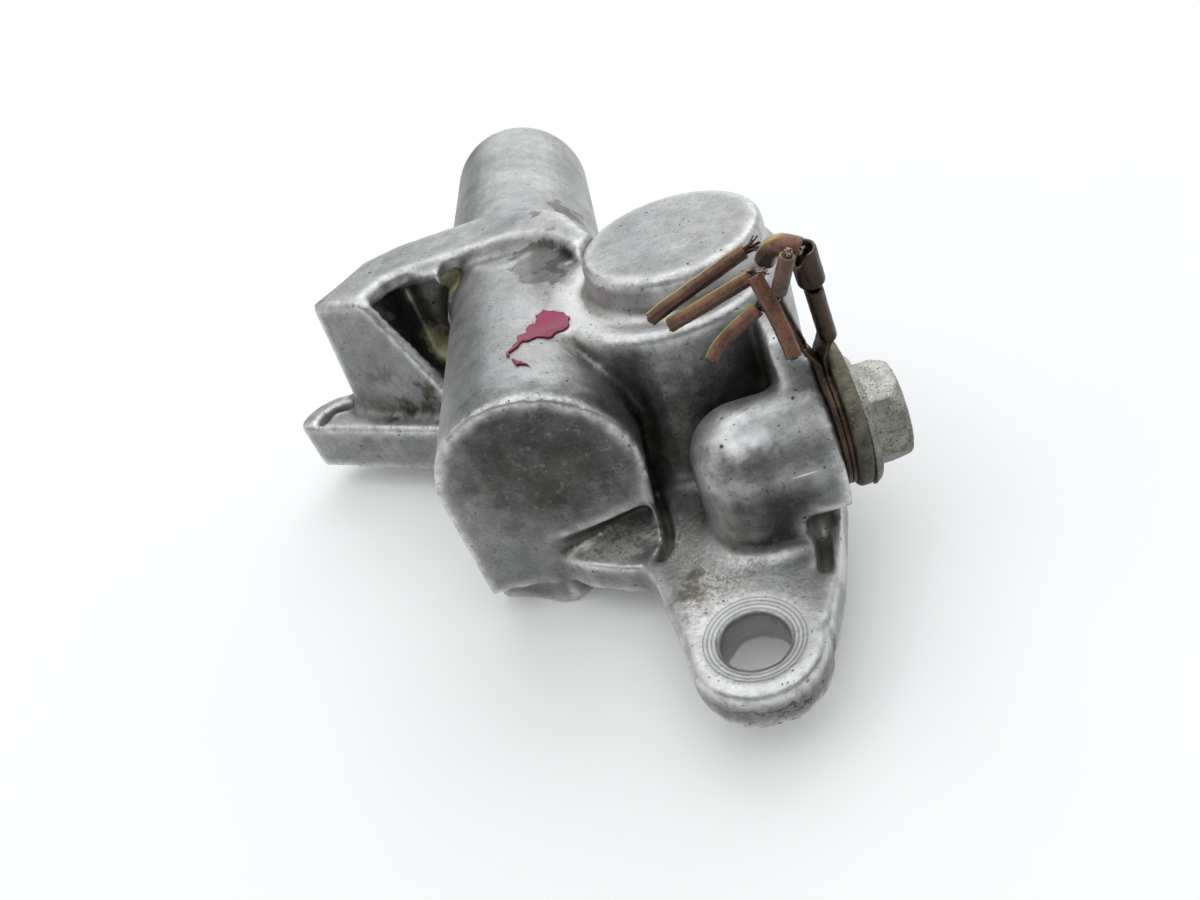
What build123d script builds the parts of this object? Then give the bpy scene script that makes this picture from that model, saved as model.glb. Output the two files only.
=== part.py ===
from build123d import *
import os

os.makedirs("parts", exist_ok=True)

# Frame: Z 0 is the mounting face, +Y runs along the main chamber to the pipe neck
# All lengths in millimetres

# Driving dimensions
flange_t = 6.4
ear_x, ear_y = 24.0, -50.0
ear_r = 9.3
bolt_hole_d = 9.0
spot_d = 13.9
axis_x, axis_z = 1.0, 19.5
main_r = 15.6
neck_r, neck_bore_r = 16.2, 13.0
neck_end_y = 93.0
tower_x, tower_y, tower_r = 26.6, 0.3, 18.2
ledge_z = 33.6
disc_x, disc_y, disc_r, disc_z = 29.0, 0.8, 13.9, 39.3
plate_z, plate_t = 35.6, 3.2
lug_x, lug_y, lug_r, lug_z = -45.3, 29.6, 8.4, 10.6
boss_y, boss_z, boss_r = -28.4, 16.8, 8.4
bolt_y, bolt_z = -28.2, 18.1
ring_y, ring_z = -27.8, 18.8
washer_y, washer_z = -27.4, 19.4
boss_left, boss_end = 22.4, 41.8
pilot_drop = 5.6
port_r, main_bore_r = 7.0, 11.0
ground_d = 8.0
head_af = 13.0
washer_d = 21.0

# Main chamber: arched body with a flat end that is turned a little from square
cap_plane = Plane(origin=(-3.4, -23.7, 0), x_dir=(0.9925, -0.1219, 0), z_dir=(-0.1219, -0.9925, 0))
with BuildPart() as chamber:
    with BuildSketch(Plane.XZ.offset(30)):
        with Locations((axis_x, axis_z)):
            Circle(main_r)
        with Locations((axis_x, axis_z - 15)):
            Rectangle(80, 30, mode=Mode.SUBTRACT)
    extrude(amount=-74, taper=0.35)
    split(bisect_by=cap_plane, keep=Keep.BOTTOM)
    # the crest drops away in front of the top plate
    with BuildSketch(Plane.YZ.offset(-12)):
        Polygon((17, 37), (17, 35.2), (27, 33.2), (36, 33.2), (36, 37), align=None)
    extrude(amount=26, mode=Mode.SUBTRACT)

# Lower half of the chamber body, straight down from the arch to the flange
with BuildPart() as body:
    with BuildSketch(Plane.XZ.offset(30)):
        Polygon((axis_x - main_r + 0.2, axis_z), (-14.4, 0), (14.5, 0), (axis_x + main_r - 0.2, axis_z),
                align=None)
    extrude(amount=-72)
    split(bisect_by=cap_plane, keep=Keep.BOTTOM)

# Flange plate with the near ear, the shelf below the end face and a hidden far ear
flange_line = [(14.8, -49), (12.7, -35.5), (11.3, -31.6), (8.6, -30.7), (2.8, -27.6), (-1.8, -23.8),
               (-14.2, -22.2), (-14.3, 9.4), (-14.3, 40), (8, 42), (33, 37), (44.6, 4), (42.2, -28),
               (37.4, -42.8), (34.0, -50.4)]
with BuildPart() as flange:
    with BuildSketch():
        Polygon(*flange_line, align=None)
        with Locations((ear_x, ear_y)):
            Circle(ear_r)
        with Locations((34, 29)):
            Circle(ear_r)
    extrude(amount=flange_t)
    fillet(flange.edges().group_by(Axis.Z)[-1].filter_by(lambda e: e.center().Y < -38), 1.2)

# Left lug: half-round end, straight front, thicker than the ear
front_line = [(-60, 33.9), (-14, 9.4), (-14, -20), (-60, -20)]
with BuildPart() as lug:
    with BuildSketch():
        with Locations((lug_x, lug_y)):
            Circle(lug_r)
        Polygon((-52, 29.6), (-14, 9.4), (-14, 38), (-42, 38), align=None)
        Polygon(*front_line, align=None, mode=Mode.SUBTRACT)
    extrude(amount=lug_z)
    fillet(lug.edges().filter_by(Axis.Z).sort_by(Axis.X)[0], 2.6)
    fillet(lug.edges().group_by(Axis.Z)[-1].sort_by(Axis.X)[:2], 1.0)
    # crescent groove between the rim and the inner pad
    with BuildSketch(Plane.XY.offset(lug_z)):
        with Locations((-44.2, 29.2)):
            Circle(5.1)
        with Locations((-43.6, 28.4)):
            Circle(3.2, mode=Mode.SUBTRACT)
        Polygon((-60, 35.2), (-41.5, 25.3), (-40.6, 40), (-60, 40), align=None, mode=Mode.INTERSECT)
    extrude(amount=-2.8, mode=Mode.SUBTRACT)

# Arm box on the left with a steep front wall
box_low = [(-43.2, 37.4), (-40.4, 29.8), (-35.8, 26.5), (-12, 11.6), (-12, 40), (-32, 42)]
box_top = [(-37.3, 31.0), (-36.8, 28.2), (-34.6, 26.9), (-12, 14.0), (-12, 42), (-29.5, 41)]
slope = Plane(origin=(-26.6, 22.4, 0), x_dir=(0.863, -0.505, 0), z_dir=(-0.505, -0.863, 0))
plate_front = [(-26.6, 22.4), (-24.3, 25.9), (-22.6, 28.2), (-19.2, 29.4), (-15.1, 29.0), (0.5, 28.8),
               (6.2, 26.1), (9.8, 22.4), (11.5, 19.4), (14.1, 12.6)]
plate_rear = [(16.9, 19.3), (14.6, 26.4), (12.2, 33.0), (8.4, 37.6), (0.4, 42.7), (-3.7, 43.0),
              (-20.6, 43.0), (-28.2, 40.4), (-31.1, 36.2), (-35.2, 30.2), (-36.2, 28.0), (-35.3, 27.4)]
with BuildPart() as arm:
    for level, points in ((0, box_low), (plate_z - 1, box_top)):
        with BuildSketch(Plane.XY.offset(level)):
            Polygon(*points, align=None)
    loft(ruled=True)
    # well behind the front wall, running back under the top plate
    with BuildSketch(Plane.XY.offset(12)):
        Polygon((-32.0, 30.0), (-28.5, 25.6), (-10, 14.6), (-10, 24.5), (-25.0, 33.6), align=None)
    extrude(amount=40, mode=Mode.SUBTRACT)
    # front wall falls away towards the chamber
    with BuildSketch(slope):
        Polygon((0, 35.8), (0, 50), (30, 50), (30, 12), (12.9, 12), align=None)
    extrude(amount=10, both=True, mode=Mode.SUBTRACT)

# Flat top plate that bridges the chamber at the rear
with BuildPart() as plate:
    with BuildSketch(Plane.XY.offset(plate_z - plate_t)):
        Polygon(*plate_front, *plate_rear, align=None)
    extrude(amount=plate_t)
    fillet(plate.edges().group_by(Axis.Z)[-1], 1.6)

# Rear wall below the plate, round the root of the neck
with BuildPart() as rear:
    with BuildSketch():
        Polygon((-30, 38.4), (14, 30), (9, 38), (0.4, 42.6), (-20.6, 42.9), (-28.0, 40.5), align=None)
    extrude(amount=plate_z - 1)

# Upper chamber: round tower with a ledge and a smaller raised disc
with BuildPart() as tower:
    with BuildSketch():
        with Locations((tower_x, tower_y)):
            Circle(tower_r + 0.5)
    extrude(amount=ledge_z, taper=0.85)
    fillet(tower.edges().group_by(Axis.Z)[-1], 1.4)
with BuildPart() as disc:
    with BuildSketch(Plane.XY.offset(ledge_z - 3)):
        with Locations((disc_x, disc_y)):
            Circle(disc_r + 0.4)
    extrude(amount=disc_z - ledge_z + 3, taper=2.5)
    fillet(disc.edges().group_by(Axis.Z)[-1], 1.3)
# deck that carries the ledge over to the top of the main chamber
with BuildPart() as deck:
    with BuildSketch(Plane.XY.offset(19)):
        Polygon((0.8, -6.2), (11.5, -9.4), (26, -12), (26, 14), (14, 24), (0.8, 28), align=None)
    extrude(amount=ledge_z - 19)
    fillet(deck.edges().group_by(Axis.Z)[-1].filter_by(lambda e: e.center().Y < -7), 1.4)

# Ground boss: horizontal arch with a rounded left end and a flat right end
with BuildPart() as boss:
    with BuildSketch(Plane.YZ.offset(boss_left)):
        with Locations((boss_y, boss_z)):
            Circle(boss_r)
        with Locations((boss_y, boss_z / 2 + 1)):
            Rectangle(2 * boss_r, boss_z - 2)
    extrude(amount=boss_end - boss_left)
    end_rim = boss.edges().filter_by(Plane.YZ).group_by(Axis.X)[0]
    fillet(end_rim.filter_by(lambda e: e.center().Z > 3), 7.4)
    # overhang of the flat end beyond its foot
    with BuildSketch(Plane.XZ.offset(45)):
        Polygon((33.6, -1), (50, -1), (50, 10.6), (35.4, 10.6), align=None)
    extrude(amount=-13, mode=Mode.SUBTRACT)
    with BuildSketch(Plane.XZ.offset(45)):
        Polygon((40.4, -1), (50, -1), (50, 10.6), (41.2, 10.6), align=None)
    extrude(amount=-28, mode=Mode.SUBTRACT)

# Fill between the boss and the tower, and the shoulder behind the terminals
with BuildPart() as shoulder:
    with BuildSketch(Plane.YZ.offset(26)):
        Polygon((-24, 3), (-10, 3), (-10, 17), (-19, 17), (-22, 14), align=None)
    extrude(amount=15)
    with BuildSketch(Plane.YZ.offset(36.9)):
        Polygon((-32, 11), (-32, 21.5), (-29, 24.8), (-25.5, 27.4), (-22, 30.0), (-10, 31.4), (-10, 11),
                align=None)
    extrude(amount=boss_end - 36.9)

# Pipe neck, a little narrower at its end
with BuildPart() as neck:
    with BuildSketch(Plane.XZ.offset(-40)):
        with Locations((axis_x - 0.8, axis_z)):
            Circle(neck_r)
    extrude(amount=-(neck_end_y - 40), taper=0.55)
    fillet(neck.edges().group_by(Axis.Y)[-1], 1.4)

# Plug-in collar below the mounting face
with BuildPart() as pilot:
    with BuildSketch(Plane.XY.offset(-pilot_drop)):
        Polygon((-14.3, -18.0), (-10.1, -19.8), (-4.1, -23.2), (-1.6, -23.7), (1.5, -21.7), (6, -14),
                (8.5, -2), (6, 22), (-4, 30), (-14.3, 24), align=None)
    extrude(amount=pilot_drop + 1)
    chamfer(pilot.edges().group_by(Axis.Z)[0], 0.5)

# Scoop that leaves the rounded shelf at the foot of the end face
scoop_roof = Plane(origin=(15.5, -26.0, 12.6), x_dir=(-15.5, 1.9, -4.0), z_dir=(20.8, -100.6, -128.2))
with BuildPart() as scoop:
    with BuildSketch(Plane.XY.offset(5.7)):
        Polygon((-2.2, -23.4), (1.4, -23.4), (3.9, -22.6), (9.0, -20.6), (14.3, -17.6), (14.8, -21),
                (15.0, -24.6), (14.5, -27.8), (13.6, -29.6), (12.4, -30.8), (13, -36), (-2.2, -36),
                align=None)
    extrude(amount=14)
    split(bisect_by=scoop_roof, keep=Keep.TOP)
    # crevice between the shelf and the ear web, up beside the end face
    with BuildSketch(Plane.XY.offset(3.4)):
        Polygon((14.4, -14.0), (14.7, -18.0), (15.2, -21.0), (15.4, -24.6), (14.9, -27.8), (14.0, -29.8),
                (12.8, -31.4), (14.4, -32.2), (16.3, -29.8), (16.9, -27.0),
                (17.0, -24.0), (16.7, -18.0), (16.4, -14.0), align=None)
    extrude(amount=8.2)

# Core pocket between the boss foot and the outer rib, with a sloping upper end
with BuildPart() as pocket:
    with BuildSketch(Plane.XY.offset(2.6)):
        Polygon((36.6, -31.2), (39.2, -31.6), (36.5, -42.6), (34.5, -42.4), align=None)
    extrude(amount=6)
    with BuildSketch(Plane.YZ.offset(30)):
        Polygon((-30, 7.4), (-34.4, 1.0), (-30, 1.0), align=None)
    extrude(amount=12, mode=Mode.SUBTRACT)

# One casting
with BuildPart() as housing:
    add(arm.part)
    add(rear.part)
    add(lug.part)
    add(flange.part)
    add(body.part)
    add(chamber.part)
    add(neck.part)
    add(tower.part)
    add(deck.part)
    add(disc.part)
    add(boss.part)
    add(shoulder.part)
    add(plate.part)
    add(pilot.part)
    # scooped shelf under the end face, a little lower than the ear web
    add(scoop.part, mode=Mode.SUBTRACT)
    add(pocket.part, mode=Mode.SUBTRACT)
    # bolt holes with spot faces
    for x, y in ((ear_x, ear_y), (34, 29)):
        with Locations((x, y, flange_t)):
            CounterBoreHole(bolt_hole_d / 2, spot_d / 2, 0.3, depth=flange_t)
    # bore of the neck and of the main chamber
    with BuildSketch(Plane.XZ.offset(-neck_end_y)):
        with Locations((axis_x - 0.8, axis_z)):
            Circle(neck_bore_r)
    extrude(amount=neck_end_y - 40, mode=Mode.SUBTRACT)
    with BuildSketch(Plane.XZ.offset(-42)):
        with Locations((axis_x, axis_z)):
            Circle(main_bore_r)
    extrude(amount=60, mode=Mode.SUBTRACT)
    # port in the collar, up into the main bore
    with BuildSketch(Plane.XY.offset(-pilot_drop - 1)):
        Circle(port_r)
    extrude(amount=axis_z + pilot_drop + 1, mode=Mode.SUBTRACT)
    # hollow of the upper chamber, open at the mounting face
    with BuildSketch():
        with Locations((tower_x + 0.8, tower_y + 0.3)):
            Circle(11.5)
    extrude(amount=disc_z - 3.6, mode=Mode.SUBTRACT)
    # passage between the two chambers
    with BuildSketch(Plane.YZ.offset(axis_x)):
        with Locations((2, 20)):
            Circle(6)
    extrude(amount=20, mode=Mode.SUBTRACT)
    # threaded hole for the ground bolt
    with BuildSketch(Plane.YZ.offset(boss_end)):
        with Locations((bolt_y, bolt_z)):
            Circle(ground_d / 2 + 0.05)
    extrude(amount=-16, mode=Mode.SUBTRACT)

# Two stacked ring terminals with crimped barrels that lean apart above the rings
sheet_t = 0.7
terminals = {
    "rear": (boss_end, 29.0, (40.4, -27.6, 32.0), (-0.22, 0, 1), 0.95, 8.2),
    "front": (boss_end + sheet_t, 30.3, (44.0, -28.4, 32.6), (-0.09, 0, 1), 1.15, 7.3),
}
for name, (start, bend_z, foot, lean, half_x, length) in terminals.items():
    with BuildPart() as ring_terminal:
        with BuildSketch(Plane.YZ.offset(start)):
            with Locations((ring_y, ring_z)):
                Circle(9.0)
                Circle(ground_d / 2 + 1.0, mode=Mode.SUBTRACT)
        extrude(amount=sheet_t)
        # strap from the ring to the barrel
        with BuildSketch(Plane.XZ.offset(25.6)):
            Polygon((start, 26.4), (start + sheet_t, 26.4), (start + sheet_t, bend_z),
                    (foot[0] + 0.35, foot[2] + 0.5), (foot[0] - 0.35, foot[2] + 0.5), (start, bend_z),
                    align=None)
        extrude(amount=4.6)
        # wire barrel, closed at the strap
        with BuildSketch(Plane(origin=foot, x_dir=(1, 0, 0), z_dir=lean)):
            Ellipse(half_x, 1.9)
        extrude(amount=length)
        with BuildSketch(Plane(origin=foot, x_dir=(1, 0, 0), z_dir=lean)):
            Ellipse(half_x - 0.45, 1.4)
        extrude(amount=length, mode=Mode.SUBTRACT)
        if name == "front":
            # open insulation sleeve on top
            with BuildSketch(Plane(origin=(43.3, -28.4, 40.9), x_dir=(1, 0, 0), z_dir=lean)):
                Ellipse(1.7, 2.4)
                Ellipse(1.25, 1.95, mode=Mode.SUBTRACT)
            extrude(amount=4.7)
            with BuildSketch(Plane.XZ.offset(24)):
                Polygon((41, 42.6), (43.4, 46.2), (41, 46.2), align=None)
            extrude(amount=9, mode=Mode.SUBTRACT)
            # spine between the wire barrel and the sleeve
            with BuildSketch(Plane.XZ.offset(26.1)):
                Polygon((42.7, 38.6), (44.1, 38.6), (43.9, 41.6), (42.7, 41.6), align=None)
            extrude(amount=0.6)
    ring_terminal.part.label = "ring_terminal_" + name
    export_step(ring_terminal.part, "parts/ring_terminal_" + name + ".step")

# Thick washer under the bolt head
washer_x = boss_end + 2 * sheet_t
washer_t = 2.1
with BuildPart() as washer:
    with BuildSketch(Plane.YZ.offset(washer_x)):
        with Locations((washer_y, washer_z)):
            Circle(washer_d / 2)
            Circle(ground_d / 2 + 1.7, mode=Mode.SUBTRACT)
    extrude(amount=washer_t)
    fillet(washer.edges().filter_by(lambda e: e.length > 50), 0.7)

# Hexagon bolt with its own flange
head_x = washer_x + washer_t
with BuildPart() as ground_bolt:
    with BuildSketch(Plane.YZ.offset(head_x + 0.5)):
        with Locations((bolt_y, bolt_z)):
            RegularPolygon(head_af / 2, 6, major_radius=False, rotation=10.6)
    extrude(amount=5.5)
    # round chamfer of the head
    with BuildSketch(Plane.YZ.offset(head_x)):
        with Locations((bolt_y, bolt_z)):
            Circle(9.3)
    extrude(amount=6.0, taper=26, mode=Mode.INTERSECT)
    with BuildSketch(Plane.YZ.offset(head_x)):
        with Locations((bolt_y, bolt_z)):
            Circle(9.4)
    extrude(amount=1.2, taper=35)
    with BuildSketch(Plane.YZ.offset(head_x)):
        with Locations((bolt_y, bolt_z)):
            Circle(ground_d / 2)
    extrude(amount=-18)

# Cut wire stubs: a jacket tube and the copper core that shows at the cut
wires = {
    "1": [(23.2, -24.4, 40.4), (30.4, -24.4, 43.2), (36.8, -24.6, 45.6)],
    "2": [(25.4, -25.6, 39.4), (31.4, -27.2, 41.9), (36.9, -28.7, 44.3)],
    "3": [(29.1, -32.1, 36.5), (30.6, -31.5, 38.0), (32.9, -31.3, 39.5), (36.0, -31.2, 41.2)],
    "4": [(38.3, -36.1, 36.1), (38.0, -34.4, 38.8), (37.1, -31.9, 43.0), (36.6, -30.6, 45.2)],
    "5": [(38.5, -27.6, 45.0), (39.2, -29.2, 47.0), (40.5, -31.7, 48.4), (41.9, -32.7, 47.9)],
    "6": [(40.2, -34.7, 48.6), (38.5, -33.6, 43.7)],
}
for name, points in wires.items():
    jacket_r = 1.3 if name == "5" else 0.98
    core_r = 0.55 * jacket_r
    with BuildPart() as jacket:
        with BuildLine() as path:
            Spline(*points)
        with BuildSketch(Plane(origin=path.line @ 0, z_dir=path.line % 0)):
            Circle(jacket_r)
            Circle(core_r + 0.02, mode=Mode.SUBTRACT)
        sweep()
    with BuildPart() as core:
        with BuildLine() as path:
            Spline(*points)
        with BuildSketch(Plane(origin=path.line @ 0, z_dir=path.line % 0)):
            Circle(core_r)
        sweep()
    jacket.part.label = "wire_jacket_" + name
    core.part.label = "wire_core_" + name
    export_step(jacket.part, "parts/wire_jacket_" + name + ".step")
    export_step(core.part, "parts/wire_core_" + name + ".step")

housing.part.label = "housing"
washer.part.label = "ground_washer"
ground_bolt.part.label = "ground_bolt"
export_step(housing.part, "parts/housing.step")
export_step(washer.part, "parts/ground_washer.step")
export_step(ground_bolt.part, "parts/ground_bolt.step")
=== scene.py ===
import bpy
import math

import numpy as np
from mathutils import Matrix, Vector


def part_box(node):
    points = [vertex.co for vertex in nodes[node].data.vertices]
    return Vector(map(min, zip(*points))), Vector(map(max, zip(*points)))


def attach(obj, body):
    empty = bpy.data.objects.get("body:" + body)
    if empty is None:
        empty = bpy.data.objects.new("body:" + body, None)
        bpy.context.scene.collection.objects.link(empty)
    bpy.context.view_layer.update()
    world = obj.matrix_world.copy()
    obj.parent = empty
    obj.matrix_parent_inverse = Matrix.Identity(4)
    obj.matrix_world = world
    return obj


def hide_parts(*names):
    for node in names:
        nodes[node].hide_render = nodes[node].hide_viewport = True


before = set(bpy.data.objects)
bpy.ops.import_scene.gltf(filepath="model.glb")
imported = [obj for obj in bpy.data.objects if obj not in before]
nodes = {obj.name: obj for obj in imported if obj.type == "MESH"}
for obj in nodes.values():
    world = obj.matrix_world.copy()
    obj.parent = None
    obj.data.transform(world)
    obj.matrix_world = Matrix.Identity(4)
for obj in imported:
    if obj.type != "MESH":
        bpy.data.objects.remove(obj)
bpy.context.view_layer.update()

# Camera of the photograph: a wide lens close to the part, held a little crooked.
# Right, up and back are the directions of its picture in the part's own frame.
right = Vector((0.9491, -0.0825, -0.3041))
up = Vector((0.2917, 0.5953, 0.7487))
back = Vector((0.1193, -0.7992, 0.5891))
camera_data = bpy.data.cameras.new("camera")
camera_data.lens = 27.408
camera_data.sensor_width = 36
camera_data.clip_start = 0.005
camera_data.clip_end = 50
camera = bpy.data.objects.new("camera", camera_data)
bpy.context.scene.collection.objects.link(camera)
aim = Matrix((right, up, back)).transposed().to_4x4()
camera.matrix_world = Matrix.Translation((0.0262, -0.1271, 0.0986)) @ aim
bpy.context.scene.camera = camera
bpy.context.scene.view_settings.view_transform = "Standard"

# Table: a plain white top. The collar of the part stands on it, so the flange is a
# collar's depth above it.
bpy.ops.object.select_all(action="DESELECT")
bpy.ops.mesh.primitive_plane_add(size=60, location=(0, 0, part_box("housing")[0].z))
floor = bpy.context.object
floor.name = "floor"
bpy.ops.object.transform_apply(location=True)
white = bpy.data.materials.new("white_table")
white.use_nodes = True
white_nodes, white_links = white.node_tree.nodes, white.node_tree.links
white_shader = white_nodes["Principled BSDF"]
white_shader.inputs["Base Color"].default_value = (0.93, 0.935, 0.93, 1)
white_shader.inputs["Roughness"].default_value = 1.0
white_shader.inputs["Specular IOR Level"].default_value = 0.0
white_shader.inputs["Emission Color"].default_value = (1, 1, 1, 1)
# the paper looks white to the eye and in the metal, and sheds no more light for it
seen = white_nodes.new("ShaderNodeLightPath")
either = white_nodes.new("ShaderNodeMath")
either.operation = "MAXIMUM"
white_links.new(seen.outputs["Is Camera Ray"], either.inputs[0])
white_links.new(seen.outputs["Is Glossy Ray"], either.inputs[1])
lift = white_nodes.new("ShaderNodeMath")
lift.operation = "MULTIPLY"
lift.inputs[1].default_value = 0.1
white_links.new(either.outputs[0], lift.inputs[0])
white_links.new(lift.outputs[0], white_shader.inputs["Emission Strength"])
floor.data.materials.append(white)

# Room: dim grey walls for the metal to mirror, and four soft lights: the ceiling, a tall
# window behind the part, one on its left and a weaker one far behind on the right.
world = bpy.data.worlds.new("room")
world.use_nodes = True
world.node_tree.nodes["Background"].inputs["Color"].default_value = (0.15, 0.154, 0.16, 1)
# what the eye sees past the table's edge is white too
room_nodes, room_links = world.node_tree.nodes, world.node_tree.links
backdrop = room_nodes.new("ShaderNodeBackground")
backdrop.inputs["Color"].default_value = (1, 1, 1, 1)
room_seen = room_nodes.new("ShaderNodeLightPath")
room_mix = room_nodes.new("ShaderNodeMixShader")
room_links.new(room_seen.outputs["Is Camera Ray"], room_mix.inputs[0])
room_links.new(room_nodes["Background"].outputs[0], room_mix.inputs[1])
room_links.new(backdrop.outputs[0], room_mix.inputs[2])
room_links.new(room_mix.outputs[0], room_nodes["World Output"].inputs["Surface"])
bpy.context.scene.world = world
for name, place, angle, power, tint in (
    ("ceiling_light", (0.05, 0.0, 1.0), 90, 1.75, (0.97, 0.985, 1.0)),
    ("window", (0.15, 1.0, 0.62), 60, 0.95, (0.97, 0.985, 1.0)),
    ("side_window", (-1.0, 0.1, 0.6), 60, 0.45, (1.0, 0.99, 0.97)),
    ("far_window", (1.0, 0.7, 0.5), 60, 0.4, (1.0, 1.0, 1.0)),
):
    lamp_data = bpy.data.lights.new(name, "SUN")
    lamp_data.angle = math.radians(angle)
    lamp_data.energy = power
    lamp_data.color = tint
    lamp = bpy.data.objects.new(name, lamp_data)
    bpy.context.scene.collection.objects.link(lamp)
    lamp.location = place
    lamp.rotation_euler = Vector(place).to_track_quat("Z", "Y").to_euler()

# Housing: one pressure die casting in aluminium, with soft edges and a skin that
# has gone grey and speckled. Its CAD solid is taken over and its edges are rounded.


def rounded_copy(name, node, grain, passes, hollow=None):
    """A copy of a CAD node as one closed skin with worn edges."""
    piece = bpy.data.objects.new(name, nodes[node].data.copy())
    bpy.context.scene.collection.objects.link(piece)
    piece.data.materials.clear()
    bpy.ops.object.select_all(action="DESELECT")
    piece.select_set(True)
    bpy.context.view_layer.objects.active = piece
    bpy.ops.object.mode_set(mode="EDIT")
    bpy.ops.mesh.select_all(action="SELECT")
    bpy.ops.mesh.remove_doubles(threshold=0.000002)
    bpy.ops.object.mode_set(mode="OBJECT")
    if hollow is not None:
        cut = piece.modifiers.new("cut", "BOOLEAN")
        cut.operation = "DIFFERENCE"
        cut.solver = "EXACT"
        cut.object = hollow
        bpy.ops.object.modifier_apply(modifier="cut")
        bpy.data.objects.remove(hollow)
    skin = piece.modifiers.new("skin", "REMESH")
    skin.mode = "VOXEL"
    skin.voxel_size = grain
    bpy.ops.object.modifier_apply(modifier="skin")
    soft = piece.modifiers.new("soft", "SMOOTH")
    soft.factor = 0.5
    soft.iterations = passes
    bpy.ops.object.modifier_apply(modifier="soft")
    bpy.ops.object.shade_smooth()
    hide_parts(node)
    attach(piece, "root")
    return piece


class Skin:
    """Places, facings and edges of a piece's mesh, with how sharply it bends at each point."""

    def __init__(self, piece):
        self.count = len(piece.data.vertices)
        place_of = np.empty(self.count * 3)
        piece.data.vertices.foreach_get("co", place_of)
        self.place = place_of.reshape(-1, 3)
        facing = np.empty(self.count * 3)
        piece.data.vertex_normals.foreach_get("vector", facing)
        self.facing = facing.reshape(-1, 3)
        pairs = np.empty(len(piece.data.edges) * 2, dtype=np.int32)
        piece.data.edges.foreach_get("vertices", pairs)
        self.one, self.two = pairs.reshape(-1, 2).T
        self.near = np.maximum(self.sum(np.ones(len(self.one)), np.ones(len(self.one))), 1)
        step = self.place[self.two] - self.place[self.one]
        bend = np.einsum("ij,ij->i", step, self.facing[self.two] - self.facing[self.one])
        bend /= np.maximum(np.einsum("ij,ij->i", step, step), 1e-12)
        self.curve = self.sum(bend, bend) / self.near

    def sum(self, to_one, to_two):
        """Adds up the values of a point's edges."""
        return np.bincount(self.one, to_one, self.count) + np.bincount(self.two, to_two, self.count)

    def mean(self, value):
        """The mean of a point's neighbours."""
        return self.sum(value[self.two], value[self.one]) / self.near


def pocket_core():
    """The sand core that runs the pocket through under the plate, past the chamber's round side."""
    front, depth = 0.0240, 0.0103
    profile = [(-11.7, 29.6), (-12.8, 28), (-14.5, 24), (-15.2, 19.5), (-15.0, 16),
               (-19.5, 16), (-19.5, 32.2), (-11.7, 32.2)]
    corners = [(px / 1000, front, pz / 1000) for px, pz in profile]
    core_mesh = bpy.data.meshes.new("core")
    core_mesh.from_pydata(corners, [], [list(range(len(corners)))])
    core = bpy.data.objects.new("core", core_mesh)
    bpy.context.scene.collection.objects.link(core)
    bpy.ops.object.select_all(action="DESELECT")
    core.select_set(True)
    bpy.context.view_layer.objects.active = core
    bpy.ops.object.mode_set(mode="EDIT")
    bpy.ops.mesh.select_all(action="SELECT")
    bpy.ops.mesh.extrude_region_move(TRANSFORM_OT_translate={"value": (0, depth, 0)})
    bpy.ops.mesh.select_all(action="SELECT")
    bpy.ops.mesh.normals_make_consistent(inside=False)
    bpy.ops.object.mode_set(mode="OBJECT")
    return core


casting = rounded_copy("casting", "housing", 0.00062, 3, pocket_core())
skin = Skin(casting)
x, y, z = skin.place.T * 1000
# inside corners run out into soft cast fillets, less so where the ledge is machined flat
gentle_bend, bend_range = 90, 200  # per metre
deep = np.clip((-skin.curve - gentle_bend) / bend_range, 0, 1)
for step in range(5):
    deep = np.maximum(deep, np.clip(skin.mean(deep) * 1.25, 0, 1))
off_disc = np.hypot(x - 29, y - 0.8) > 15.5
deep[(z > 29.5) & off_disc & (x > 5) & (y < 24)] = 0
fillets = casting.vertex_groups.new(name="fillets")
for level in range(1, 11):
    chosen = np.nonzero((deep > (level - 0.5) / 10) & (deep <= (level + 0.5) / 10))[0]
    fillets.add(chosen.tolist(), level / 10, "REPLACE")
run = casting.modifiers.new("run", "SMOOTH")
run.factor = 0.5
run.iterations = 45
run.vertex_group = "fillets"
bpy.ops.object.modifier_apply(modifier="run")
# the bores and the middle of the underside need fewer faces than the outside
under = ((z < 0.3) & (skin.facing[:, 2] < -0.98)).astype(float)
for step in range(6):
    under = np.where(skin.mean(under) > 0.999, under, 0)
in_neck = (np.hypot(x - 0.2, z - 19.5) < 13.6) & (y > 38)
in_main = (np.hypot(x - 1.0, z - 19.5) < 11.6) & (y < 43) & (y > -20)
in_upper = (np.hypot(x - 27.4, y - 0.6) < 12.1) & (z < 36.2)
in_port = (np.hypot(x, y) < 7.6) & (z < 20)
unseen = in_neck | in_main | in_upper | in_port | (under > 0)
inner = casting.vertex_groups.new(name="inner")
inner.add(np.nonzero(unseen)[0].tolist(), 1.0, "REPLACE")
most_faces = 196000
count = 2 * len(casting.data.polygons)
if count > most_faces:
    fewer = casting.modifiers.new("fewer", "DECIMATE")
    fewer.ratio = most_faces / count
    fewer.vertex_group = "inner"
    fewer.vertex_group_factor = 30
    bpy.ops.object.modifier_apply(modifier="fewer")
casting.vertex_groups.clear()
bpy.ops.object.shade_smooth()
# rubbed edges, and grime and painted shade in the corners, kept on the mesh for its material
skin = Skin(casting)
full_wear = 260  # the bend per metre at which an edge is rubbed bright
for name, rate in (("worn", 1), ("grime_and_shade", -1)):
    amount = np.clip(rate * skin.curve / full_wear, 0, 1)
    for step in range(2):
        amount = 0.5 * amount + 0.5 * skin.mean(amount)
    mark = casting.data.attributes.new(name, "FLOAT", "POINT")
    mark.data.foreach_set("value", amount)

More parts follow.
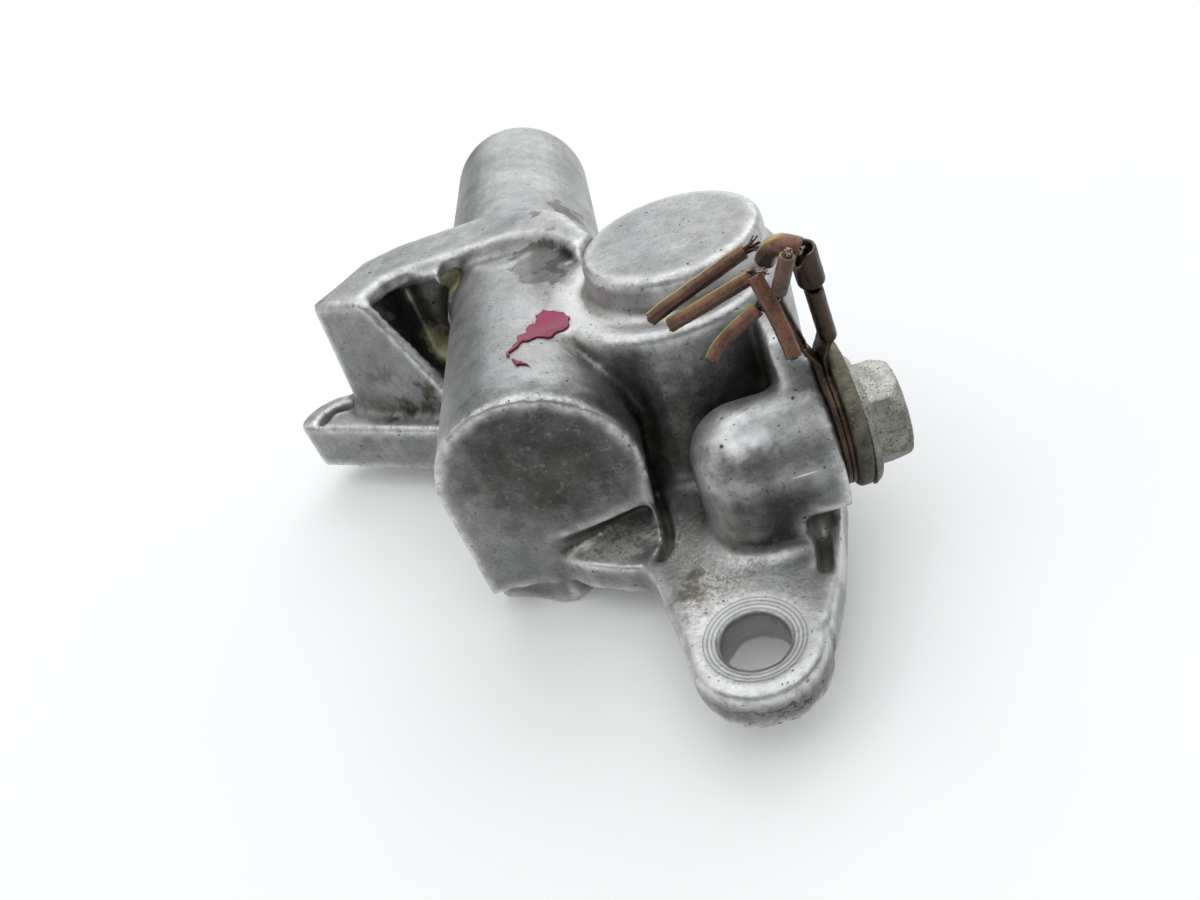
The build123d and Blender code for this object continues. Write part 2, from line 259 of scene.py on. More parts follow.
cast_skin = bpy.data.materials.new("cast_aluminium")
cast_skin.use_nodes = True
cast_nodes = cast_skin.node_tree.nodes
cast_links = cast_skin.node_tree.links
cast_shader = cast_nodes["Principled BSDF"]
place = cast_nodes.new("ShaderNodeTexCoord")


def pattern(scale, detail, rough=0.55):
    """Cloudy noise over the part, scale in spots per metre."""
    noise = cast_nodes.new("ShaderNodeTexNoise")
    noise.inputs["Scale"].default_value = scale
    noise.inputs["Detail"].default_value = detail
    noise.inputs["Roughness"].default_value = rough
    cast_links.new(place.outputs["Object"], noise.inputs["Vector"])
    return noise.outputs["Fac"]


def ramp(value, stops):
    """Turns a pattern into tones at the given stops."""
    node = cast_nodes.new("ShaderNodeValToRGB")
    while len(node.color_ramp.elements) < len(stops):
        node.color_ramp.elements.new(0.5)
    for element, (position, tone) in zip(node.color_ramp.elements, stops):
        element.position = position
        element.color = (*tone, 1) if isinstance(tone, tuple) else (tone, tone, tone, 1)
    cast_links.new(value, node.inputs["Fac"])
    return node.outputs["Color"]


def blend(kind, amount, first, second):
    """Mixes two colours; each may be a socket or a colour."""
    node = cast_nodes.new("ShaderNodeMix")
    node.data_type = "RGBA"
    node.blend_type = kind
    for socket, value in ((node.inputs[0], amount), (node.inputs[6], first), (node.inputs[7], second)):
        if isinstance(value, bpy.types.NodeSocket):
            cast_links.new(value, socket)
        else:
            socket.default_value = value if not isinstance(value, tuple) else (*value, 1)
    return node.outputs[2]


def ragged(amount):
    """The place on the part, shaken by up to the given millimetres so that rims are ragged."""
    noise = cast_nodes.new("ShaderNodeTexNoise")
    noise.inputs["Scale"].default_value = 900 / amount
    noise.inputs["Detail"].default_value = 4
    cast_links.new(place.outputs["Object"], noise.inputs["Vector"])
    shake = cast_nodes.new("ShaderNodeVectorMath")
    shake.operation = "MULTIPLY_ADD"
    cast_links.new(noise.outputs["Color"], shake.inputs[0])
    shake.inputs[1].default_value = (amount / 250,) * 3
    cast_links.new(place.outputs["Object"], shake.inputs[2])
    centred = cast_nodes.new("ShaderNodeVectorMath")
    centred.operation = "SUBTRACT"
    cast_links.new(shake.outputs[0], centred.inputs[0])
    centred.inputs[1].default_value = (amount / 500,) * 3
    return centred.outputs[0]


coarse, fine, exact = ragged(3.0), ragged(1.0), place.outputs["Object"]


def patch(centre, reach, edge=0.4, spot=None):
    """A stain, 1 inside and 0 outside; its centre and reach are in millimetres."""
    moved = cast_nodes.new("ShaderNodeVectorMath")
    moved.operation = "SUBTRACT"
    cast_links.new(coarse if spot is None else spot, moved.inputs[0])
    moved.inputs[1].default_value = [value / 1000 for value in centre]
    scaled = cast_nodes.new("ShaderNodeVectorMath")
    scaled.operation = "MULTIPLY"
    cast_links.new(moved.outputs[0], scaled.inputs[0])
    scaled.inputs[1].default_value = [1000 / value for value in reach]
    far = cast_nodes.new("ShaderNodeVectorMath")
    far.operation = "LENGTH"
    cast_links.new(scaled.outputs[0], far.inputs[0])
    fade = cast_nodes.new("ShaderNodeMapRange")
    fade.inputs["From Min"].default_value = 1.0
    fade.inputs["From Max"].default_value = 1.0 - edge
    cast_links.new(far.outputs["Value"], fade.inputs["Value"])
    return fade.outputs["Result"]


def combine(kind, first, second):
    """Joins two strengths: their product, their difference or the larger one, from 0 to 1."""
    node = cast_nodes.new("ShaderNodeMath")
    node.operation = kind
    node.use_clamp = True
    for socket, value in zip(node.inputs, (first, second)):
        if isinstance(value, bpy.types.NodeSocket):
            cast_links.new(value, socket)
        else:
            socket.default_value = value
    return node.outputs[0]


def kept(name):
    """A strength that is stored on the mesh."""
    node = cast_nodes.new("ShaderNodeAttribute")
    node.attribute_name = name
    return node.outputs["Fac"]


def dots(scale, size):
    """Scattered specks, scale in specks per metre."""
    cells = cast_nodes.new("ShaderNodeTexVoronoi")
    cells.inputs["Scale"].default_value = scale
    cast_links.new(exact, cells.inputs["Vector"])
    return ramp(cells.outputs["Distance"], ((size * 0.7, 1.0), (size, 0.0)))


worn, grime_and_shade = kept("worn"), kept("grime_and_shade")
clouds = ramp(pattern(75, 5, 0.6), ((0.35, (0.37, 0.375, 0.38)), (0.65, (0.53, 0.53, 0.525))))
streaks = ramp(pattern(330, 4, 0.65), ((0.36, 0.80), (0.62, 1.0)))
tone = blend("MULTIPLY", 1.0, clouds, streaks)
tone = blend("MULTIPLY", 1.0, tone, ramp(pattern(2200, 3, 0.7), ((0.36, 0.80), (0.56, 1.0))))
# oil film on the end face, and painted shade beside it on the tower and on the front of the boss; thinner low on the
# left, blotched, with painted glints
film_and_shade = combine(
    "MAXIMUM", patch((4.5, -24, 25.0), (18.5, 7, 17.5), 0.45), patch((24, -15, 18), (16, 7, 15), 0.5),
)
# painted shade on the lower front of the boss
film_and_shade = combine("MAXIMUM", film_and_shade, patch((30, -37.5, 11), (10.0, 4.5, 11.0), 0.6))
tone = blend("MULTIPLY", film_and_shade, tone, (0.36, 0.36, 0.35))
blotches = combine("MULTIPLY", film_and_shade, ramp(pattern(210, 5, 0.7), ((0.44, 0.0), (0.62, 0.75))))
tone = blend("MULTIPLY", blotches, tone, (0.50, 0.50, 0.47))
# painted glints: bright specks added to the colour inside the film
painted_glints = combine("MULTIPLY", film_and_shade, ramp(pattern(620, 4, 0.8), ((0.56, 0.0), (0.66, 0.8))))
tone = blend("ADD", painted_glints, tone, (0.16, 0.16, 0.15))
# painted shade: what faces forward is darker than what faces up
turned = cast_nodes.new("ShaderNodeSeparateXYZ")
cast_links.new(place.outputs["Normal"], turned.inputs[0])
forward_shade = cast_nodes.new("ShaderNodeMapRange")
forward_shade.inputs["From Min"].default_value = -0.35
forward_shade.inputs["From Max"].default_value = -0.9
cast_links.new(turned.outputs["Y"], forward_shade.inputs["Value"])
tone = blend("MULTIPLY", forward_shade.outputs["Result"], tone, (0.66, 0.66, 0.65))
# painted shade on the front wall of the ear
tone = blend("MULTIPLY", patch((26.0, -57.0, 0.8), (18.0, 10.0, 4.6), 0.3, fine), tone, (0.34, 0.34, 0.32))
# the boss is darkened all over
tone = blend("MULTIPLY", patch((31.0, -32.5, 17.5), (11.0, 8.0, 9.5), 0.5), tone, (0.50, 0.50, 0.49))
# smears of grime over everything
smears = ramp(pattern(140, 5, 0.7), ((0.42, 0.0), (0.6, 1.0)))
tone = blend("MULTIPLY", combine("MULTIPLY", smears, 0.45), tone, (0.62, 0.61, 0.58))
# dark patches with crisp rims on the crest and at the root of the neck
for centre, reach in (
    ((7.0, 17.5, 34), (5.2, 9.0, 6)), ((10.5, 12.5, 34), (3.6, 7.0, 6)), ((12.2, 44.5, 30), (4.6, 4.4, 4.4)),
    ((8.8, 35.5, 35.6), (2.2, 1.6, 2)),
):
    tone = blend("MULTIPLY", patch(centre, reach, 0.12), tone, (0.42, 0.41, 0.40))
# dirt at the foot of the arm and on its front, beside the end face, on the web and the boss
for centre, reach, colour in (
    ((-28.5, 22.2, 11.5), (7.5, 3.6, 3.0), (0.22, 0.21, 0.20)),
    ((-21.0, 18.0, 14.5), (3.4, 3.0, 5.5), (0.28, 0.24, 0.18)),
    ((-29.5, 23.5, 20.0), (5.0, 3.0, 3.6), (0.6, 0.59, 0.57)),
    ((-35.5, 24.0, 6.0), (8.0, 4.0, 3.5), (0.66, 0.65, 0.62)),
    ((17.4, -39.4, 6.4), (4.4, 6.0, 2.0), (0.66, 0.62, 0.55)),
    ((28.5, -34.6, 19.0), (6.0, 3.0, 5.5), (0.6, 0.6, 0.58)),
):
    tone = blend("MULTIPLY", patch(centre, reach, 0.7), tone, colour)
# yellow residue in the pocket, and specks of it on the web
residue = None
for centre, reach in (
    ((-15.6, 28.0, 24.6), (3.0, 5.0, 4.4)), ((-19.0, 30.0, 18.6), (3.2, 5.0, 5.4)),
    ((-11.0, 31.5, 29.6), (4.5, 5.0, 2.8)),
):
    one = patch(centre, reach, 0.5, fine)
    residue = one if residue is None else combine("MAXIMUM", residue, one)
speckle = combine(
    "MAXIMUM", patch((17.0, -29.0, 5.4), (5.5, 13.0, 4.0), 0.6), patch((21.5, -38.4, 6.4), (10.0, 5.0, 3.0), 0.6),
)
speckle = combine("MULTIPLY", speckle, ramp(pattern(2300, 3, 0.7), ((0.48, 0.0), (0.6, 0.85))))
yellow = combine("MAXIMUM", residue, speckle)
tone = blend("MIX", residue, tone, (0.80, 0.75, 0.47))
# painted light on the disc's wall, on the ledge round the disc and on what faces up on the ear, and a painted
# highlight on the top of the boss
disc_wall_painted_light = combine("MULTIPLY", patch((29.0, 0.8, 35.6), (16.6, 16.6, 3.4), 0.3, exact), 0.7)
tone = blend("MIX", disc_wall_painted_light, tone, (0.85, 0.85, 0.84))
boss_top_highlight = combine("MULTIPLY", patch((29.5, -32.6, 24.4), (7.5, 4.6, 3.4), 0.9), 0.8)
tone = blend("MIX", boss_top_highlight, tone, (0.92, 0.93, 0.94))
ledge_painted_light = combine("MULTIPLY", patch((26.6, 0.3, 33.5), (19.0, 19.0, 1.6), 0.3, exact), 0.8)
tone = blend("MIX", ledge_painted_light, tone, (0.85, 0.85, 0.84))
# painted light on what faces up on the ear, speckled
ear_top_painted_light = combine(
    "MAXIMUM", patch((23.0, -46.0, 7.3), (13.0, 17.0, 2.0), 0.3, exact),
    patch((23.0, -31.0, 6.3), (10.0, 10.0, 1.4), 0.5, fine),
)
ear_top_painted_light = combine("MULTIPLY", ear_top_painted_light, ramp(pattern(1100, 4, 0.75), ((0.36, 0.3), (0.56, 0.95))))
upward = cast_nodes.new("ShaderNodeMapRange")
upward.inputs["From Min"].default_value = 0.45
upward.inputs["From Max"].default_value = 0.85
cast_links.new(turned.outputs["Z"], upward.inputs["Value"])
ear_top_painted_light = combine("MULTIPLY", ear_top_painted_light, upward.outputs["Result"])
tone = blend("MIX", ear_top_painted_light, tone, (0.76, 0.76, 0.74))
# painted light on the walls of the slot
slot_walls_painted_light = combine("MULTIPLY", patch((37.2, -37.0, 4.5), (3.4, 7.5, 4.5), 0.4, exact), 0.7)
tone = blend("MIX", slot_walls_painted_light, tone, (0.85, 0.85, 0.84))
tone = blend("MIX", speckle, tone, (0.30, 0.29, 0.19))
tone = blend("MULTIPLY", patch((17.4, -39.6, 6.4), (3.6, 5.0, 2.0), 0.4), tone, (0.50, 0.47, 0.42))
# painted highlights in the hollows of the web and along the boss, and painted light on the shelf
for centre, reach in (
    ((19.6, -17.4, 7.2), (3.4, 2.4, 3.6)), ((21.6, -31.0, 7.0), (2.2, 5.2, 2.2)),
    ((25.5, -37.0, 6.8), (5.5, 2.0, 2.2)), ((31.4, -38.2, 6.8), (4.6, 2.0, 2.2)),
    ((30.0, -41.2, 6.4), (5.4, 2.8, 2.0)), ((13.2, -37.0, 6.2), (1.9, 4.4, 2.0)),
):
    painted_highlight = combine("MULTIPLY", patch(centre, reach, 0.9, exact), 0.6)
    tone = blend("MIX", painted_highlight, tone, (0.86, 0.88, 0.92))
shelf_painted_light = combine(
    "MULTIPLY", patch((8.2, -25.4, 5.7), (7.5, 4.6, 1.5), 0.3, fine),
    ramp(pattern(800, 4, 0.75), ((0.38, 0.15), (0.54, 1.0))),
)
tone = blend("MIX", shelf_painted_light, tone, (0.90, 0.89, 0.83))
# a lighter patch on the pocket's wall
tone = blend("MIX", patch((-29.0, 30.0, 26.5), (3.0, 4.0, 1.6), 0.2), tone, (0.62, 0.62, 0.60))
# rubbed edges are bright, save inside the pocket, and corners are darkened with grime and painted shade
within_reach = combine("SUBTRACT", 1.0, patch((-17.5, 30.0, 24.0), (6.5, 6.0, 7.6), 0.25))
worn = combine("MULTIPLY", worn, within_reach)
rubbed = combine("MULTIPLY", worn, ramp(pattern(500, 4, 0.7), ((0.34, 0.35), (0.6, 1.0))))
tone = blend("MIX", rubbed, tone, (0.74, 0.74, 0.73))
caked_grime_and_shade = combine("MULTIPLY", grime_and_shade, ramp(pattern(260, 4), ((0.35, 0.2), (0.6, 1.0))))
tone = blend("MULTIPLY", caked_grime_and_shade, tone, (0.45, 0.43, 0.38))
tone = blend("MIX", combine("MULTIPLY", residue, 0.75), tone, (0.86, 0.80, 0.50))
# specks, pits, two scored lines along the front of the ear and a scratch on the boss
specks = combine("MULTIPLY", dots(330, 0.1), ramp(pattern(90, 3), ((0.47, 0.0), (0.58, 1.0))))
flecks = combine("MULTIPLY", dots(120, 0.055), ramp(pattern(45, 2), ((0.5, 0.0), (0.54, 1.0))))
specks = combine("MAXIMUM", specks, flecks)
pits = ramp(pattern(1300, 2, 0.7), ((0.67, 0.0), (0.72, 1.0)))
marks = combine("MAXIMUM", specks, pits)
for centre, reach in (((23.0, -59.0, 3.4), (9.5, 3.0, 0.22)), ((27.5, -58.8, 2.2), (6.0, 3.0, 0.18))):
    marks = combine("MAXIMUM", marks, patch(centre, reach, 0.6, fine))
tone = blend("MIX", marks, tone, (0.06, 0.055, 0.05))
scratch = patch((36.4, -36.6, 18.4), (2.0, 1.5, 0.16), 0.5, exact)
tone = blend("MIX", scratch, tone, (0.7, 0.7, 0.7))
# turned spot face and drilled wall of the screw hole
faced = patch((24.0, -50.0, 6.2), (6.9, 6.9, 6.9), 0.03, exact)
turning = cast_nodes.new("ShaderNodeTexWave")
turning.wave_type = "RINGS"
turning.rings_direction = "Z"
turning.inputs["Scale"].default_value = 560
turning.inputs["Distortion"].default_value = 5.0
turning.inputs["Detail"].default_value = 3
turning.inputs["Detail Scale"].default_value = 900
middle = cast_nodes.new("ShaderNodeVectorMath")
middle.operation = "SUBTRACT"
middle.inputs[1].default_value = (0.024, -0.05, 0)
cast_links.new(exact, middle.inputs[0])
cast_links.new(middle.outputs[0], turning.inputs["Vector"])
rings = ramp(turning.outputs["Color"], ((0.08, 0.2), (0.4, 0.5), (0.9, 0.66)))
tone = blend("MIX", combine("MULTIPLY", faced, 0.85), tone, rings)
bored = patch((24.0, -50.0, 2.7), (5.3, 5.3, 0.22), 0.5, exact)
tone = blend("MULTIPLY", bored, tone, (0.35, 0.35, 0.34))
cast_links.new(tone, cast_shader.inputs["Base Color"])
dull = combine("MAXIMUM", yellow, marks)
cast_links.new(ramp(dull, ((0.0, 0.88), (1.0, 0.15))), cast_shader.inputs["Metallic"])
gloss = ramp(pattern(200, 4), ((0.3, 0.34), (0.7, 0.5)))
gloss = blend("MIX", dull, gloss, (0.7, 0.7, 0.7))
cast_links.new(gloss, cast_shader.inputs["Roughness"])
relief = cast_nodes.new("ShaderNodeBump")
relief.inputs["Strength"].default_value = 0.45
relief.inputs["Distance"].default_value = 0.0002
height = combine("SUBTRACT", pattern(1500, 4, 0.6), combine("MULTIPLY", marks, 0.5))
cast_links.new(height, relief.inputs["Height"])
cast_links.new(relief.outputs["Normal"], cast_shader.inputs["Normal"])
casting.data.materials.append(cast_skin)

# Paint mark: a dab of pink paint on the crest, put on with a brush or pen by whoever
# sorted the part. It has run to a thick glossy edge, and two thin drops lie beside it.


def inside(outline, px, py):
    """Whether a point lies in a closed outline."""
    hit = False
    for (ax, ay), (bx, by) in zip(outline, outline[1:] + outline[:1]):
        if (ay > py) != (by > py) and px < (bx - ax) * (py - ay) / (by - ay) + ax:
            hit = not hit
    return hit


dab = [(7.2, 0.3), (10.2, -2.0), (11.3, -4.6), (10.9, -7.6), (8.6, -7.9), (7.2, -8.6), (6.0, -8.2), (5.0, -9.4),
       (4.2, -9.1), (3.2, -10.8), (2.2, -11.6), (1.9, -12.9), (1.4, -12.7), (1.7, -11.0), (3.0, -9.0), (3.2, -7.4),
       (4.4, -6.4), (4.7, -4.6), (5.9, -3.9), (6.0, -1.4)]
drops = [[(2.2, -13.6), (2.7, -13.6), (3.5, -14.7), (4.6, -15.6), (5.4, -17.4), (4.5, -16.2), (3.6, -15.6),
          (3.0, -15.9)],
         [(3.4, -14.6), (3.9, -14.7), (4.2, -15.6), (3.7, -16.0)]]
bpy.ops.object.select_all(action="DESELECT")
bpy.ops.mesh.primitive_grid_add(x_subdivisions=184, y_subdivisions=256, size=1, location=(0.0066, -0.0085, 0.05))
paint = bpy.context.object
paint.name = "paint_mark"
bpy.ops.transform.resize(value=(0.0115, 0.0205, 1))
bpy.ops.object.transform_apply(location=True, rotation=False, scale=True)
bpy.ops.object.mode_set(mode="EDIT")
bpy.ops.mesh.select_mode(type="VERT")
bpy.ops.mesh.select_all(action="DESELECT")
bpy.ops.object.mode_set(mode="OBJECT")
for point in paint.data.vertices:
    px, py = point.co.x * 1000, point.co.y * 1000
    qx, qy = px + 0.1 * math.sin(py * 3.1), py + 0.14 * math.sin(px * 3.3)
    point.select = not (inside(dab, qx, qy) or any(inside(drop, px, py) for drop in drops))
bpy.ops.object.mode_set(mode="EDIT")
bpy.ops.mesh.delete(type="VERT")
bpy.ops.object.mode_set(mode="OBJECT")
lay = paint.modifiers.new("lay", "SHRINKWRAP")
lay.target = casting
lay.wrap_method = "PROJECT"
lay.use_project_z = True
lay.use_negative_direction = True
lay.use_positive_direction = False
lay.offset = 0.00002
bpy.ops.object.modifier_apply(modifier="lay")
thick = paint.modifiers.new("thick", "SOLIDIFY")
thick.thickness = 0.00028
thick.offset = 1.0
bpy.ops.object.modifier_apply(modifier="thick")
flow = paint.modifiers.new("flow", "SMOOTH")
flow.factor = 0.5
flow.iterations = 14
bpy.ops.object.modifier_apply(modifier="flow")
bpy.ops.object.shade_smooth()
pink = bpy.data.materials.new("pink_paint")
pink.use_nodes = True
pink_nodes, pink_links = pink.node_tree.nodes, pink.node_tree.links
pink_shader = pink_nodes["Principled BSDF"]
pink_shader.inputs["Coat Weight"].default_value = 0.12
pink_shader.inputs["Specular IOR Level"].default_value = 0.35
pink_shader.inputs["Coat Roughness"].default_value = 0.08
pink_place = pink_nodes.new("ShaderNodeTexCoord")
# the lower edge, where the paint has run together, is deeper in colour
edge_line = pink_nodes.new("ShaderNodeVectorMath")
edge_line.operation = "DOT_PRODUCT"
edge_line.inputs[1].default_value = (-0.35, 0.93, 0)
pink_links.new(pink_place.outputs["Object"], edge_line.inputs[0])
pink_cloud = pink_nodes.new("ShaderNodeTexNoise")
pink_cloud.inputs["Scale"].default_value = 500
pink_links.new(pink_place.outputs["Object"], pink_cloud.inputs["Vector"])
pink_deep = pink_nodes.new("ShaderNodeMapRange")
pink_deep.inputs["From Min"].default_value = -0.0062
pink_deep.inputs["From Max"].default_value = -0.0098
pink_links.new(edge_line.outputs["Value"], pink_deep.inputs["Value"])
pink_tone = pink_nodes.new("ShaderNodeMix")
pink_tone.data_type = "RGBA"
pink_tone.inputs[6].default_value = (0.33, 0.014, 0.085, 1)
pink_tone.inputs[7].default_value = (0.24, 0.008, 0.045, 1)
pink_links.new(pink_deep.outputs["Result"], pink_tone.inputs[0])
pink_links.new(pink_tone.outputs[2], pink_shader.inputs["Base Color"])
pink_gloss = pink_nodes.new("ShaderNodeMapRange")
pink_gloss.inputs["To Min"].default_value = 0.6
pink_gloss.inputs["To Max"].default_value = 0.15
pink_links.new(pink_deep.outputs["Result"], pink_gloss.inputs["Value"])
pink_links.new(pink_gloss.outputs["Result"], pink_shader.inputs["Roughness"])
pink_bump = pink_nodes.new("ShaderNodeBump")
pink_bump.inputs["Strength"].default_value = 0.5
pink_bump.inputs["Distance"].default_value = 0.0002
pink_links.new(pink_cloud.outputs["Fac"], pink_bump.inputs["Height"])
pink_links.new(pink_bump.outputs["Normal"], pink_shader.inputs["Normal"])
paint.data.materials.append(pink)
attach(paint, "root")

# Ground bolt and washer: zinc-plated steel, a flanged hexagon bolt and a thick washer
# screwed into the boss. The plating has gone grey-yellow under a crust of dirt.


def crusted(piece, height, size):
    """Roughens a piece's skin with a crust, its height and size in metres."""
    clouds_of = bpy.data.textures.new(piece.name + "_crust", "CLOUDS")
    clouds_of.noise_scale = size
    clouds_of.noise_depth = 3
    crust = piece.modifiers.new("crust", "DISPLACE")
    crust.texture = clouds_of
    crust.texture_coords = "LOCAL"
    crust.mid_level = 0.5
    crust.strength = height
    bpy.context.view_layer.objects.active = piece
    bpy.ops.object.modifier_apply(modifier="crust")


def grimy_and_shaded(name, light, dark, spot, metal, rough, size, bump):
    """A finish in three tones: the clean surface, its stained parts and its specks, with grime and painted shade on
    what faces sideways and down.
    """
    finish = bpy.data.materials.new(name)
    finish.use_nodes = True
    made, links = finish.node_tree.nodes, finish.node_tree.links
    shader = made["Principled BSDF"]
    where = made.new("ShaderNodeTexCoord")
    tones = []
    for scale, detail, low, high in ((size, 5, 0.4, 0.62), (size * 8, 3, 0.56, 0.68)):
        cloud = made.new("ShaderNodeTexNoise")
        cloud.inputs["Scale"].default_value = scale
        cloud.inputs["Detail"].default_value = detail
        cloud.inputs["Roughness"].default_value = 0.65
        links.new(where.outputs["Object"], cloud.inputs["Vector"])
        spread = made.new("ShaderNodeMapRange")
        spread.inputs["From Min"].default_value = low
        spread.inputs["From Max"].default_value = high
        links.new(cloud.outputs["Fac"], spread.inputs["Value"])
        tones.append((cloud.outputs["Fac"], spread.outputs["Result"]))
    stained = made.new("ShaderNodeMix")
    stained.data_type = "RGBA"
    stained.inputs[6].default_value = (*light, 1)
    stained.inputs[7].default_value = (*dark, 1)
    links.new(tones[0][1], stained.inputs[0])
    speckled = made.new("ShaderNodeMix")
    speckled.data_type = "RGBA"
    speckled.inputs[7].default_value = (*spot, 1)
    links.new(tones[1][1], speckled.inputs[0])
    links.new(stained.outputs[2], speckled.inputs[6])
    # grime and painted shade on what faces sideways and down
    facing_of = made.new("ShaderNodeSeparateXYZ")
    links.new(where.outputs["Normal"], facing_of.inputs[0])
    shade_below = made.new("ShaderNodeMapRange")
    shade_below.inputs["From Min"].default_value = 0.62
    shade_below.inputs["From Max"].default_value = -0.1
    links.new(facing_of.outputs["Z"], shade_below.inputs["Value"])
    grimed_and_shaded = made.new("ShaderNodeMix")
    grimed_and_shaded.data_type = "RGBA"
    grimed_and_shaded.blend_type = "MULTIPLY"
    grimed_and_shaded.inputs[7].default_value = (0.30, 0.30, 0.27, 1)
    links.new(shade_below.outputs["Result"], grimed_and_shaded.inputs[0])
    links.new(speckled.outputs[2], grimed_and_shaded.inputs[6])
    links.new(grimed_and_shaded.outputs[2], shader.inputs["Base Color"])
    shader.inputs["Metallic"].default_value = metal
    wear = made.new("ShaderNodeMapRange")
    wear.inputs["To Min"].default_value = rough
    wear.inputs["To Max"].default_value = min(rough + 0.25, 1)
    links.new(tones[1][1], wear.inputs["Value"])
    links.new(wear.outputs["Result"], shader.inputs["Roughness"])
    relief_of = made.new("ShaderNodeBump")
    relief_of.inputs["Strength"].default_value = bump
    relief_of.inputs["Distance"].default_value = 0.00015
    links.new(tones[1][0], relief_of.inputs["Height"])
    links.new(relief_of.outputs["Normal"], shader.inputs["Normal"])
    return finish


bolt = rounded_copy("hexagon_bolt", "ground_bolt", 0.00025, 2)
crusted(bolt, 0.00012, 0.0009)
bolt_skin = grimy_and_shaded("zinc_bolt", (0.56, 0.56, 0.52), (0.32, 0.32, 0.27), (0.07, 0.065, 0.045), 0.7, 0.4, 420, 0.7)
bolt.data.materials.append(bolt_skin)
ring = rounded_copy("thick_washer", "ground_washer", 0.00025, 2)
crusted(ring, 0.00014, 0.0008)
ring_skin = grimy_and_shaded(
    "zinc_washer", (0.24, 0.22, 0.15), (0.075, 0.065, 0.038), (0.36, 0.34, 0.26), 0.45, 0.5, 420, 0.8,
)
ring.data.materials.append(ring_skin)

# Ring terminals: stamped from one sheet of copper alloy each, rolled round the wires
# and crimped, then bent up off the boss. Heat and age have turned them dark brown.
terminal_skin = grimy_and_shaded(
    "tarnished_sheet", (0.13, 0.075, 0.045), (0.045, 0.033, 0.027), (0.20, 0.15, 0.07), 0.65, 0.36, 260, 0.35,
)
for side in ("rear", "front"):
    terminal = rounded_copy(side + "_terminal", "ring_terminal_" + side, 0.00016, 2)
    crusted(terminal, 0.00012, 0.0012)
    terminal.data.materials.append(terminal_skin)

# Wire stubs: brown insulated stranded wires, crimped into the terminals on the real part
# and cut off close to them. Here they stay where their solids are, a few millimetres clear
# of the crimps. The insulation is grimy, with a painted yellow highlight in a band on its upper left.
brown = grimy_and_shaded("brown_insulation", (0.27, 0.125, 0.07), (0.12, 0.053, 0.03), (0.08, 0.045, 0.03), 0.0, 0.33, 230, 0.25)
brown_nodes, brown_links = brown.node_tree.nodes, brown.node_tree.links
brown_colour = brown_nodes["Principled BSDF"].inputs["Base Color"]
side_of = brown_nodes.new("ShaderNodeTexCoord")
# painted highlight: a yellow band on the side turned up and to the left
lit = brown_nodes.new("ShaderNodeVectorMath")
lit.operation = "DOT_PRODUCT"
lit.inputs[1].default_value = (-0.40, 0.55, 0.73)
brown_links.new(side_of.outputs["Normal"], lit.inputs[0])
band = brown_nodes.new("ShaderNodeMapRange")
band.inputs["From Min"].default_value = 0.66
band.inputs["From Max"].default_value = 0.84
brown_links.new(lit.outputs["Value"], band.inputs["Value"])
painted_yellow_highlight = brown_nodes.new("ShaderNodeMix")
painted_yellow_highlight.data_type = "RGBA"
painted_yellow_highlight.inputs[7].default_value = (0.46, 0.38, 0.10, 1)
past = brown_nodes.new("ShaderNodeMapRange")
past.inputs["From Min"].default_value = 0.97
past.inputs["From Max"].default_value = 0.88
brown_links.new(lit.outputs["Value"], past.inputs["Value"])
stripe = brown_nodes.new("ShaderNodeMath")
stripe.operation = "MULTIPLY"
brown_links.new(band.outputs["Result"], stripe.inputs[0])
brown_links.new(past.outputs["Result"], stripe.inputs[1])
brown_links.new(stripe.outputs[0], painted_yellow_highlight.inputs[0])
brown_links.new(brown_colour.links[0].from_socket, painted_yellow_highlight.inputs[6])
brown_links.new(painted_yellow_highlight.outputs[2], brown_colour)
for number in "123456":
    jacket = rounded_copy("insulation_" + number, "wire_jacket_" + number, 0.00014, 1)
    crusted(jacket, 0.00016, 0.0016)
    jacket.data.materials.append(brown)

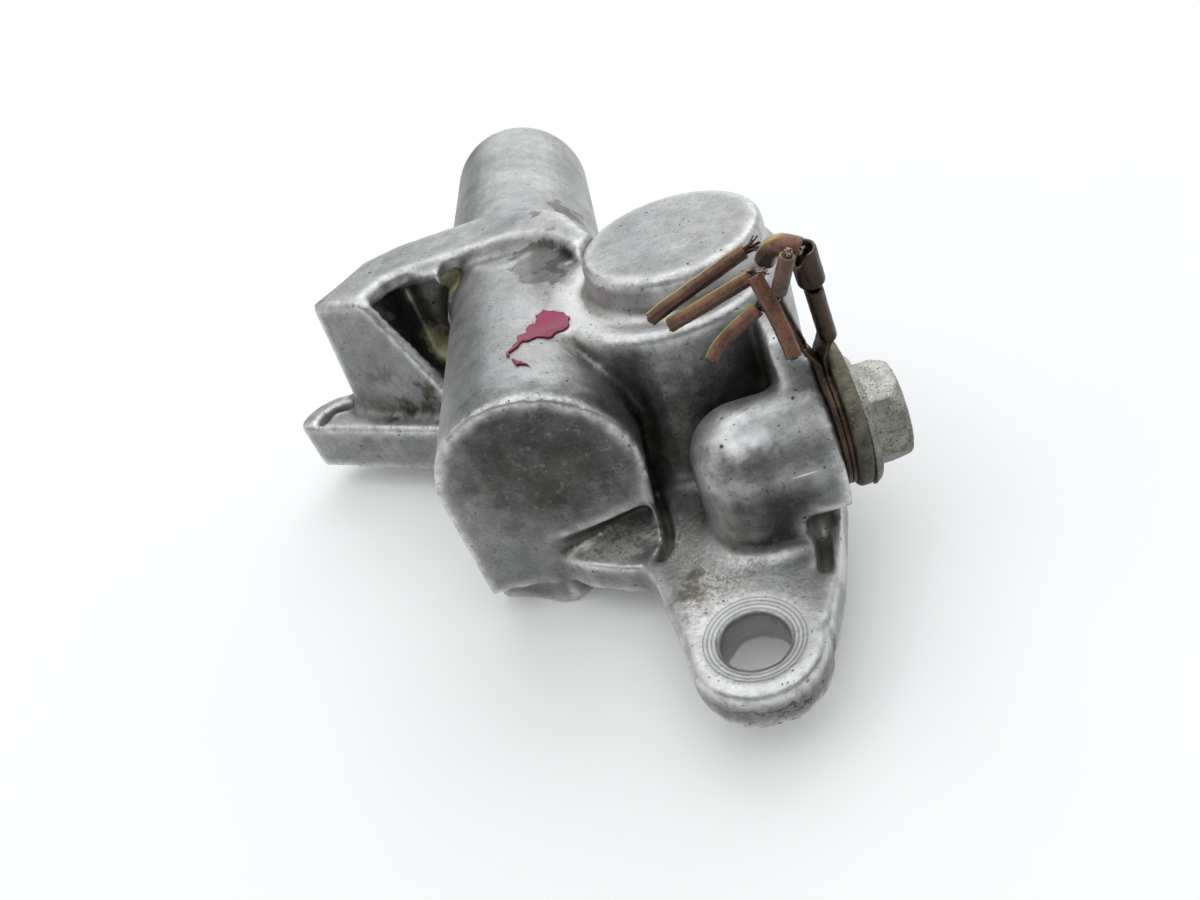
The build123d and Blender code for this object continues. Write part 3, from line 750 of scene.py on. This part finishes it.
# Copper strands: fine wires at both ends of each stub, thirteen where an end is frayed and
# nine where it is cut clean. Most have gone dark, and the fresh cuts shine like silver.
dark_strand = grimy_and_shaded("dark_strands", (0.16, 0.12, 0.09), (0.06, 0.05, 0.045), (0.30, 0.24, 0.18), 0.6, 0.45, 700, 0.3)
bright_strand = grimy_and_shaded("bright_strands", (0.55, 0.50, 0.46), (0.34, 0.27, 0.22), (0.12, 0.10, 0.08), 0.8, 0.3, 700, 0.3)
dice = np.random.default_rng(7)
for number, ends in {
    "1": (
        ((36.8, -24.6, 45.6), (0.93, -0.04, 0.36), 2.4, 0.75, dark_strand),
        ((23.2, -24.4, 40.4), (-0.93, 0, -0.36), 0.3, 0.1, dark_strand),
    ),
    "2": (
        ((36.9, -28.7, 44.3), (0.88, -0.22, 0.4), 1.7, 0.5, bright_strand),
        ((25.4, -25.6, 39.4), (-0.9, 0.2, -0.35), 0.2, 0.1, dark_strand),
    ),
    "3": (
        ((36.0, -31.2, 41.2), (0.87, 0.03, 0.48), 0.8, 0.3, dark_strand),
        ((29.1, -32.1, 36.5), (-0.6, -0.3, -0.72), 0.2, 0.1, dark_strand),
    ),
    "4": (
        ((36.6, -30.6, 45.2), (-0.25, 0.45, 0.86), 0.9, 0.35, dark_strand),
        ((38.3, -36.1, 36.1), (0.06, -0.5, -0.86), 0.2, 0.1, dark_strand),
    ),
    "5": (
        ((41.9, -32.7, 47.9), (0.7, -0.5, -0.3), 0.5, 0.3, bright_strand),
        ((38.5, -27.6, 45.0), (-0.25, 0.6, -0.75), 0.3, 0.2, dark_strand),
    ),
    "6": (
        ((40.2, -34.7, 48.6), (0.33, -0.2, 0.92), 0.8, 0.3, bright_strand),
        ((38.5, -33.6, 43.7), (-0.33, 0.2, -0.92), 0.6, 0.3, dark_strand),
    ),
}.items():
    for order, (tip, way, length, splay, finish) in enumerate(ends):
        curve = bpy.data.curves.new("strands", "CURVE")
        curve.dimensions = "3D"
        curve.bevel_depth = 0.00013
        curve.bevel_resolution = 2
        curve.use_fill_caps = True
        way = Vector(way).normalized()
        across = way.orthogonal().normalized()
        other = way.cross(across)
        for strand in range(13 if splay > 0.25 else 9):
            angle, far = dice.uniform(0, 2 * math.pi), 0.42 * math.sqrt(dice.uniform(0, 1))
            start = across * (far * math.cos(angle)) + other * (far * math.sin(angle))
            lean = across * dice.normal(0, splay) + other * dice.normal(0, splay)
            reach = length * dice.uniform(0.5, 1.0)
            line = curve.splines.new("NURBS")
            line.points.add(3)
            for knot, point in enumerate((
                start - way * 0.9, start, start + way * reach * 0.5 + lean * 0.35, start + way * reach + lean,
            )):
                line.points[knot].co = (*((Vector(tip) + point) / 1000), 1)
            line.order_u = 3
            line.use_endpoint_u = True
            line.resolution_u = 4
        strands = bpy.data.objects.new("strands_%s_%s" % (number, "ab"[order]), curve)
        bpy.context.scene.collection.objects.link(strands)
        bpy.ops.object.select_all(action="DESELECT")
        strands.select_set(True)
        bpy.context.view_layer.objects.active = strands
        bpy.ops.object.convert(target="MESH")
        bpy.ops.object.shade_smooth()
        strands.data.materials.append(finish)
        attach(strands, "root")
    core = nodes["wire_core_" + number]
    core.data.materials.clear()
    core.data.materials.append(dark_strand)
